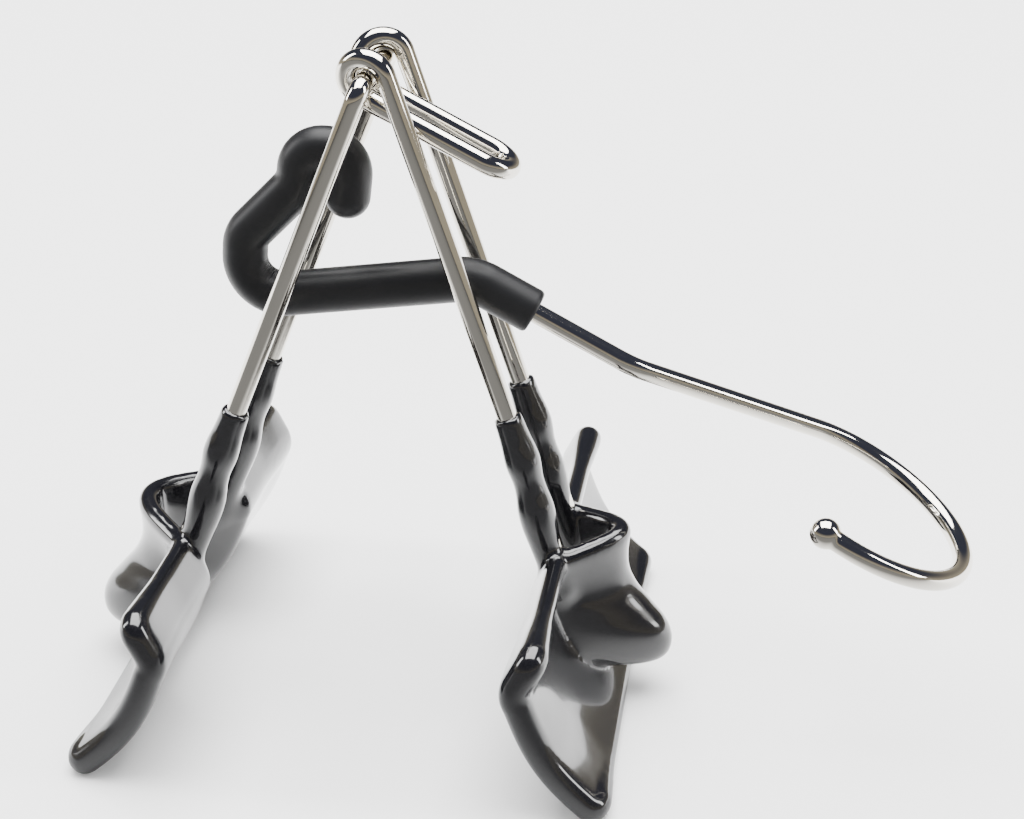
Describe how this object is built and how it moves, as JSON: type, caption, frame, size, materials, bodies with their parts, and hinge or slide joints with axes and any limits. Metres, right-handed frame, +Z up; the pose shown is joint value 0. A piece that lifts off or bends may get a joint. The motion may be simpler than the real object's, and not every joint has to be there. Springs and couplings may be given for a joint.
{
  "type": "trouser hanger",
  "caption": "Wire trouser hanger with hinged frames, dipped non-slip clamp jaws, a hinge lever and a loose sleeved hook.",
  "frame": {"origin": "on the floor, under the middle of the part's box, as it stands on its open jaws", "axes": "+X from the left jaw to the right jaw and the hook, +Y along the jaws to the rear, +Z up"},
  "size_m": [0.183, 0.106, 0.1376],
  "materials": {
    "plated_wire": "bright nickel plate",
    "soft_sleeve": "satin",
    "dipped_coating": "glossy dipped coating",
    "pressed_sheet": "mill"
  },
  "bodies": {
    "left_jaw": {"left_frame_wire": "plated_wire", "left_jaw_plate": "pressed_sheet", "left_jaw_coating": "dipped_coating"},
    "right_jaw": {"right_frame_wire": "plated_wire", "right_jaw_plate": "pressed_sheet", "right_jaw_coating": "dipped_coating"},
    "hook": {"hook_wire": "plated_wire", "hook_sleeve": "soft_sleeve"}
  },
  "joints": [
    {"name": "jaw_hinge", "type": "hinge", "parent": "left_jaw", "child": "right_jaw", "pos_m": [-0.02942, 0, 0.1314], "axis": [0, 1, 0], "range_deg": [-20, 32]},
    {"name": "hook_tilt", "type": "hinge", "parent": "right_jaw", "child": "hook", "pos_m": [-0.00982, -0.0025, 0.0912], "axis": [0, -1, 0], "range_deg": [-6, 80]}
  ]
}
